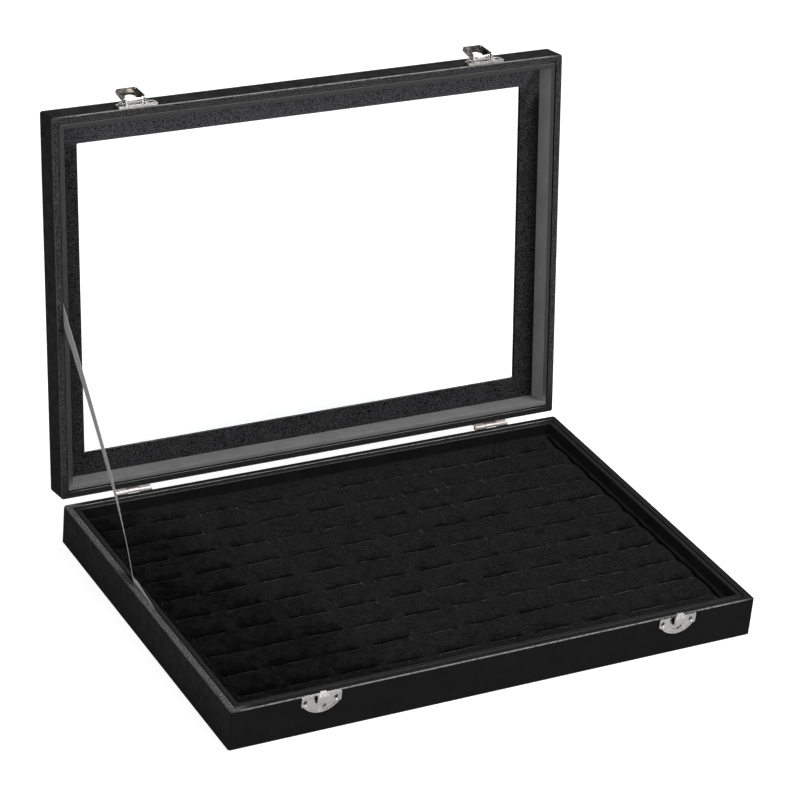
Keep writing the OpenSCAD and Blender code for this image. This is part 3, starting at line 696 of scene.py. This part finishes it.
# %% [markdown]
# The window's velvet is painted paler on the rail that is farthest from the hinges, a painted sheen, and painted
# darker in the corners beside the lining, painted shade. How far a point is from the hinge line tells the rails
# apart, in any position of the lid.

# %% Painted light and shade on the window's velvet
spots = np.empty((len(window_velvet.data.vertices), 3), np.float32)
window_velvet.data.vertices.foreach_get("co", spots.reshape(-1))
spots = spots / MM
from_hinge = np.hypot(spots[:, 1] - HINGE_Y, spots[:, 2] - HINGE_Z)
lit_far_rail = smooth_step((from_hinge - BOX_D + WINDOW_RAIL + 1) / 3)
in_corner = smooth_step((np.abs(spots[:, 0]) - BOX_W / 2 + INSIDE + 4) / 4)
print("points on the far rail:", int((lit_far_rail > 0.5).sum()), "of", len(spots))
# Painted sheen on the far rail, and painted shade in the corners.
point_values(window_velvet, "painted_light", 0.8 * lit_far_rail - 0.7 * in_corner * (1 - lit_far_rail))
window_cloth.onto(window_velvet)
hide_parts("window_flange")
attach(window_velvet, "lid")

# %% [markdown]
# ## The ring pad
#
# The pad is a block of foam with cuts in rows, and velvet glued over it and tucked into the cuts. Between the rows
# it swells into strips, beside each cut its lips roll down, and at the cuts' ends the velvet is pulled into small
# puckers. A cloth simulation would lose cuts this narrow in its remesh, so the height is written as one formula
# over the plan. The grid lines crowd together at the cuts and their ends, where the shape changes fast.

# %% The pad's grid lines
PAD_TOP, PAD_HALF_X, PAD_HALF_Y = 18.4, 164.2, 112.6
PITCH_X, PITCH_Y, CUT_HALF, CUT_DEPTH = 32.6, 21.4, 11.2, 9.2
ROWS_Y = (np.arange(10) - 4.5) * PITCH_Y
COLS_X = (np.arange(10) - 4.5) * PITCH_X
PAD_ROUND, SCALLOP = 2.6, 1.3


def crowded(centres, offsets, low, high):
    """Grid lines at every centre plus every offset, mirrored, inside low..high."""
    both = np.concatenate([-offsets[::-1], offsets])
    lines = (centres[:, None] + both[None, :]).ravel()
    lines = np.concatenate([lines[(lines > low) & (lines < high)], [low, high]])
    return np.unique(np.round(lines, 3))


LINES_Y = crowded(
    ROWS_Y,
    np.array([0.22, 0.5, 0.62, 0.85, 1.15, 1.55, 2.1, 2.8, 3.7, 4.8, 6.0, 7.3, 8.6, 9.7, 10.7]),
    PAD_ROUND - PAD_HALF_Y,
    PAD_HALF_Y - PAD_ROUND,
)
LINES_X = crowded(
    COLS_X,
    np.array([0, 1.5, 3.0, 4.5, 6.0, 7.5, 8.8, 9.8, 10.5, 10.9, 11.2, 11.5, 11.9, 12.4, 13.0, 13.8, 14.7, 15.6]),
    PAD_ROUND - PAD_HALF_X,
    PAD_HALF_X - PAD_ROUND,
)
print("pad grid:", len(LINES_X), "x", len(LINES_Y))

# %% [markdown]
# Every cut is made by hand, so no two are alike. A seeded table gives each its own shift, slant, length and folds,
# and the same table is used for the height and for the painted light and shade, so that painted highlights on the
# lips and painted shade behind the cuts follow the shape.


# %% Where a point lies beside its cut
def soft_noise(x, y, cell, seed):
    """Smooth noise: random numbers on a square grid, joined by smooth steps."""
    table = np.random.default_rng(seed).uniform(-1, 1, (96, 96))
    u, v = x / cell + 48.37, y / cell + 47.81
    i, j = np.floor(u).astype(int), np.floor(v).astype(int)
    s, t = u - i, v - j
    s, t = s * s * (3 - 2 * s), t * t * (3 - 2 * t)
    near_row = table[i % 96, j % 96] * (1 - s) + table[(i + 1) % 96, j % 96] * s
    far_row = table[i % 96, (j + 1) % 96] * (1 - s) + table[(i + 1) % 96, (j + 1) % 96] * s
    return near_row * (1 - t) + far_row * t


def beside_cut(x, y):
    """Where each point lies beside its nearest cut: dy behind the cut, how far it is past the cut's end along x, the
    share of the cut that is there, and for the fold that runs forwards from each end its reach and the distance across
    it in widths. The last value is the table of numbers, six for each cut."""
    row = np.clip(np.round(y / PITCH_Y + 4.5), 0, 9).astype(int)
    col = np.clip(np.round(x / PITCH_X + 4.5), 0, 9).astype(int)
    hand = np.random.default_rng(7).uniform(-1, 1, (6, 10, 10))[:, row, col]
    dx = x - COLS_X[col] - 0.8 * hand[0]
    dy = y - ROWS_Y[row] - 0.025 * hand[1] * dx - 0.35 * soft_noise(x, y, 6.0, 21)
    past_end = np.abs(dx) - CUT_HALF - 0.6 * hand[2]
    in_cut = smooth_step(0.5 - past_end)
    front = np.maximum(0.6 - dy, 0)
    fold_x = (past_end - 0.4 - 0.16 * front - 0.4 * soft_noise(x, y, 4.0, 33)) / 0.5
    reach = smooth_step(front / 1.2) * np.exp(-((front / (5.5 + 1.5 * hand[4])) ** 4))
    return dy, past_end, in_cut, reach, fold_x, hand


# %% The pad's height
VALLEY, LIP_ROLL, SWELL, CROWN_DROP = 0.55, 0.32, 0.34, 0.35


def pad_drop(x, y, beside):
    """How far the velvet lies below the pad's top. It adds valleys between the strips, (1 - distance)^2 deep, lips
    that roll into the cuts, the cuts themselves, a pucker at each end of a cut, and a little swelling."""
    dy, past_end, in_cut, reach, fold_x, hand = beside
    away = np.abs(dy)
    valley = VALLEY * (1 - np.minimum(away / (PITCH_Y / 2), 1)) ** 2
    roll_back = np.exp(-((np.maximum(dy, 0) / 1.8) ** 1.6))
    roll = (LIP_ROLL + 0.15 * hand[3]) * in_cut * roll_back * bell(np.minimum(dy, 0), 0.6)
    cut = CUT_DEPTH * in_cut * (1 - smooth_step((away - 0.08) / 0.42))
    pucker = reach * (0.35 * bell(fold_x + 1.1, 1) - 0.22 * bell(fold_x, 1))
    swell = -SWELL * soft_noise(x, y, 9.0, 3) - 0.14 * soft_noise(x, y, 3.4, 5)
    return CROWN_DROP + valley + roll + cut + pucker + swell


# %% The pad's painted light and shade
def pad_painted_light(x, y, beside):
    """Painted light and shade, from -1, dark, to 1, pale. A painted highlight lies on the lip in front of a cut and on
    the folds, and painted shade lies behind a cut, fading over 3 mm. The left part of the pad gets painted shade, and
    soft patches break it all up."""
    dy, past_end, in_cut, reach, fold_x, hand = beside
    lip_line = bell(dy + 1.0 + 0.25 * soft_noise(x, y, 3.0, 51), 0.5)
    crest = in_cut * lip_line * np.clip(0.75 + 0.8 * soft_noise(x, y, 4.5, 53), 0, 1)
    fold = (0.55 + 0.4 * hand[5]) * reach * bell(fold_x, 1.2)
    behind = np.maximum(dy, 0)
    soft = (0.4 + 0.2 * hand[1]) * np.exp(-behind / 3.2) + 0.45 * np.exp(-behind / 0.9)
    shade = smooth_step((2.5 - past_end) / 4.0) * soft * (dy > -0.45)
    # Painted shade over the left part of the pad.
    left = smooth_step((-62 - x - 0.3 * y) / 60)
    patch = 0.14 * soft_noise(x, y, 13.0, 41) + 0.22 * soft_noise(x, y, 3.2, 43) - 0.1
    return np.clip(crest + fold - shade + np.minimum(patch, 0) - 0.5 * left, -1, 1)


# %% [markdown]
# The pad's sides drop in a quarter round to the floor board, and its two ends draw in at every row, which gives
# them their scalloped line. Both are part of the same grid: the outermost lines of each direction run down the
# sides instead of across the top.


# %% The pad as one closed surface
def with_skirt(lines, half):
    """Adds the lines of the rounded edge and the side, and how far each has dropped."""
    turn = np.linspace(0, np.pi / 2, 6)[1:]
    out = half - PAD_ROUND + PAD_ROUND * np.sin(turn)
    fall = PAD_ROUND * (1 - np.cos(turn))
    out, fall = np.append(out, half), np.append(fall, PAD_TOP)
    place = np.concatenate([-out[::-1], lines, out])
    return place, np.concatenate([fall[::-1], np.zeros(len(lines)), fall])


def ring_pad():
    """Points (x, y, top - drop), with the ends drawn in by the scallop of each row and the sides run down to the
    board. The sides' lowest lines close in one flat face underneath."""
    x_line, x_fall = with_skirt(LINES_X, PAD_HALF_X)
    y_line, y_fall = with_skirt(LINES_Y, PAD_HALF_Y)
    x, y = np.meshgrid(x_line, y_line)
    fall = x_fall[None, :] + y_fall[:, None]
    flat = np.clip(1 - fall / 3.0, 0, 1)
    beside = beside_cut(x, y)
    painted_light = pad_painted_light(x, y, beside)
    z = np.maximum(PAD_TOP - pad_drop(x, y, beside) * flat - fall, FLOOR_Z)
    phase = np.abs((y / PITCH_Y + 4.5) % 1 - 0.5) * 2
    near_end = smooth_step((np.abs(x) - PAD_HALF_X + 16) / 14)
    x = x - np.sign(x) * near_end * (SCALLOP * phase**2.2 + 0.25 * soft_noise(x, y, 7.0, 11) + 0.25)
    points = np.stack([x, y, z], -1)
    rows, cols = points.shape[:2]
    index = np.arange(rows * cols).reshape(rows, cols)
    rim = np.concatenate([index[0], index[1:, -1], index[-1, -2::-1], index[-2:0:-1, 0]])
    piece = new_piece("slotted_ring_pad", points.reshape(-1, 3), grid_quads(rows, cols), [rim])
    # A painted highlight along the pad's rounded edge.
    on_edge = 0.3 * bell(x_fall[None, :] - 0.9, 0.4)
    point_values(piece, "painted_light", np.clip(painted_light * flat + on_edge, -1, 1))
    return piece


pad = ring_pad()
pad_velvet.onto(pad)
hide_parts("ring_pad")
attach(pad, "base")

# %% [markdown]
# ## The ribbon stay
#
# A woven ribbon stops the lid. Its ends are tucked into the grooves of base and lid, both of which lie in the plane
# of the left wall. It lies in the base's groove behind its foot, leaves it in a bend, and runs straight up to the
# lid, turned until it is nearly edge-on to the camera. A cloth simulation would leave it wavy where it is taut, so it
# is a flat tube: a thin rounded section carried along that line and turned by a twist.

# %% The ribbon's line and its twist
RIBBON_W, RIBBON_T, TUCK, GROOVE_X = 10.0, 0.36, 7.0, -170.3
FOOT = np.array([GROOVE_X, BOX_D / 2 - 124.0, BASE_H])
HEAD = swing_open(np.array([GROOVE_X, BOX_D / 2 - 118.0, 0.0]))
LINE_Y = [-10, 0, 19, 27, 39, 56, 72.5, 99.4, 127]
LINE_Z = [-7.5, -5, -2.6, -0.6, 18.5, 39.2, 56.0, 80.5, 104.5]
BEND_REACH, OUT_AT = 14.0, 37.0


def soft_line(stops, reach, step=0.5):
    """Points every step along straight lines through the stops. A running mean over the reach rounds each bend."""
    legs = np.linalg.norm(np.diff(stops, axis=0), axis=1)
    at = np.concatenate([[0], np.cumsum(legs)])
    s = np.arange(0, at[-1], step)
    line = np.stack([np.interp(s, at, stops[:, i]) for i in range(3)], -1)
    half = int(reach / step / 2)
    ahead = line[-1] + (line[-1] - line[-2]) * np.arange(1, half + 1)[:, None]
    behind = line[0] - (line[1] - line[0]) * np.arange(half, 0, -1)[:, None]
    padded = np.concatenate([behind, line, ahead])
    weight = np.hanning(2 * half + 3)[1:-1]
    return np.stack([np.convolve(padded[:, i], weight / weight.sum(), "valid") for i in range(3)], -1)


def ribbon_twist(s, out_at, run):
    """Turn in degrees at a distance s: none in the base groove, 21 degrees soon after it is out at out_at, then slowly
    back to a few degrees, and none at the head."""
    share = (s - out_at) / (run - out_at)
    turn = -21 * smooth_step(share / 0.07 + 0.5) * (1 - 0.45 * smooth_step((share - 0.12) / 0.3))
    return (turn + 8 * np.clip((share - 0.4) / 0.6, 0, 1)) * smooth_step((1 - share) / 0.04)


def stay_ribbon():
    """Centre line plus width vector times cos t and thickness vector times sin t, both turned by the twist. The line
    lies in its groove behind the foot and leaves it in a bend."""
    low = FOOT + np.stack([np.zeros(len(LINE_Y)), LINE_Y, LINE_Z], -1)
    last = HEAD + (HEAD - low[-1]) / np.linalg.norm(HEAD - low[-1]) * TUCK
    middle = soft_line(np.concatenate([low, [last]]), BEND_REACH)
    along = np.gradient(middle, axis=0)
    along /= np.linalg.norm(along, axis=1, keepdims=True)
    s = np.concatenate([[0], np.cumsum(np.linalg.norm(np.diff(middle, axis=0), axis=1))])
    turn = np.radians(ribbon_twist(s, OUT_AT, s[-1] - TUCK))[:, None]
    out = np.array([[1.0, 0, 0]])
    flat = np.cross(out, along)
    wide = np.cos(turn) * flat + np.sin(turn) * out
    thick = np.cross(along, wide)
    t = np.linspace(0, 2 * np.pi, 28, endpoint=False)
    across = np.sign(np.cos(t)) * np.abs(np.cos(t)) ** 0.6
    up = np.sign(np.sin(t)) * np.abs(np.sin(t)) ** 0.6
    selvedge = 0.25
    thickness = up * (1 + selvedge * bell(1 - np.abs(across), 0.08)) / (1 + selvedge)
    section = across[None, :, None] * wide[:, None] * RIBBON_W / 2
    section = section + thickness[None, :, None] * thick[:, None] * RIBBON_T / 2
    points = middle[:, None] + section
    rows, cols = points.shape[:2]
    uv = np.stack(np.broadcast_arrays(across[None, :] * RIBBON_W / 2, s[:, None]), -1).reshape(-1, 2)
    caps = [np.arange(cols), (rows - 1) * cols + np.arange(cols)]
    piece = new_piece("woven_stay_ribbon", points.reshape(-1, 3), grid_quads(rows, cols, False, True), caps, uv)
    return piece, float(s[-1])


ribbon, ribbon_length = stay_ribbon()
print("ribbon length", round(ribbon_length, 1), "mm")

# %% [markdown]
# Its UV map is in millimetres, across and along, so the weave has its true size: ribs of weft a third of a
# millimetre apart, crossed by finer warp threads.

# %% Grey ribbon weave
ribbon_cloth = Finish("grey_ribbon_weave", Specular_IOR_Level=0.2, Roughness=0.65, Sheen_Weight=0.15)
thread = ribbon_cloth.add("ShaderNodeUVMap", uv_map="UVMap").outputs["UV"]
axes = ribbon_cloth.add("ShaderNodeSeparateXYZ", {0: thread})
weft = ribbon_cloth.sum_of("SINE", ribbon_cloth.sum_of("MULTIPLY", axes.outputs["Y"], 18.0), 0.0)
warp = ribbon_cloth.sum_of("SINE", ribbon_cloth.sum_of("MULTIPLY", axes.outputs["X"], 30.0), 0.0)
# The selvedge is paler: partly its own weave, partly a painted highlight along the ribbon's edges.
selvedge = ribbon_cloth.spread(ribbon_cloth.sum_of("ABSOLUTE", axes.outputs["X"], 0.0), 4.0, 4.6)
crossed = ribbon_cloth.sum_of("ADD", weft, ribbon_cloth.sum_of("MULTIPLY", warp, 0.5))
threads = ribbon_cloth.spread(crossed, -1.5, 1.5)
grey_yarn = ribbon_cloth.shades(threads, (0.0, 0.17), (1.0, 0.34))
ribbon_cloth.feed(
    Base_Color=ribbon_cloth.blend(selvedge, grey_yarn, (0.45, 0.45, 0.45, 1)),
    Normal=ribbon_cloth.relief(threads, 0.0001, 0.8),
)
ribbon_cloth.onto(ribbon)
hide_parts("stay_ribbon")
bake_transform(ribbon)

# %% [markdown]
# ## Metalwork
#
# The latches and hinges are thin pressed sheet, nickel plated. The CAD solids already have their shape, so they
# keep it and get a finish: bright on the plates, tarnished in patches on the levers, duller on the hinges, and dark
# steel on the nails, with faint rubbing marks in the roughness. One image of scratches would do for all, but noise
# needs no unwrapping and has its true size on every piece.


# %% Nickel plate
def nickel(name, tint, low, high, tarnish=0.86):
    """Metal with a tint, darkened to a share of it in patches, and a roughness that wanders between two values."""
    finish = Finish(name, Metallic=1.0)
    marks = finish.noise(900.0, 4.0)
    dull = tuple(tarnish * c for c in tint)
    finish.feed(
        Base_Color=finish.shades(finish.noise(240.0, 3.0), (0.35, dull), (0.65, tint)),
        Roughness=finish.spread(marks, 0.3, 0.7, low, high),
        Normal=finish.relief(finish.noise(700.0, 2.0), 0.00002, 0.5),
    )
    return finish


bright_nickel = nickel("bright_nickel", (0.72, 0.7, 0.68), 0.14, 0.3)
worn_nickel = nickel("worn_nickel", (0.62, 0.58, 0.55), 0.1, 0.26, 0.16)
dull_nickel = nickel("dull_nickel", (0.55, 0.5, 0.48), 0.3, 0.45)
dark_steel = nickel("dark_nail_steel", (0.09, 0.085, 0.08), 0.3, 0.5)
bright_nickel.onto(*[NODES[n] for n in NODES if "latch" in n or "catch" in n])
worn_nickel.onto(*[NODES[n] for n in NODES if "lever" in n])
dull_nickel.onto(*[NODES[n] for n in NODES if "hinge" in n])
dark_steel.onto(*[NODES[n] for n in NODES if "nails" in n])

# %% [markdown]
# ## Glass, board and underside
#
# The pane is clear float glass with a trace of green. The bottom board is raw fibreboard and is hidden by the pad,
# and the underside is covered with black felt, which is seen only when the case is lifted.

# %% Glass, board and felt
glass = Finish("clear_glass", Transmission_Weight=1.0, Roughness=0.0, IOR=1.46)
glass.shader.inputs["Base Color"].default_value = (0.99, 1.0, 0.995, 1)
glass.onto(NODES["glass_pane"])
board = Finish("raw_fibreboard", Roughness=0.85)
fibres = board.noise(700.0, 5.0)
board.feed(Base_Color=board.shades(fibres, (0.3, (0.22, 0.15, 0.09)), (0.7, (0.4, 0.29, 0.19))))
board.onto(NODES["base_bottom_board"])
felt = Finish("black_felt", Roughness=1.0, Specular_IOR_Level=0.05, Sheen_Weight=0.1)
fluff = felt.noise(1500.0, 5.0)
felt.feed(Base_Color=felt.shades(fluff, (0.3, 0.006), (0.7, 0.022)), Normal=felt.relief(fluff, 0.0002, 0.7))
felt.onto(NODES["base_underside_cover"])
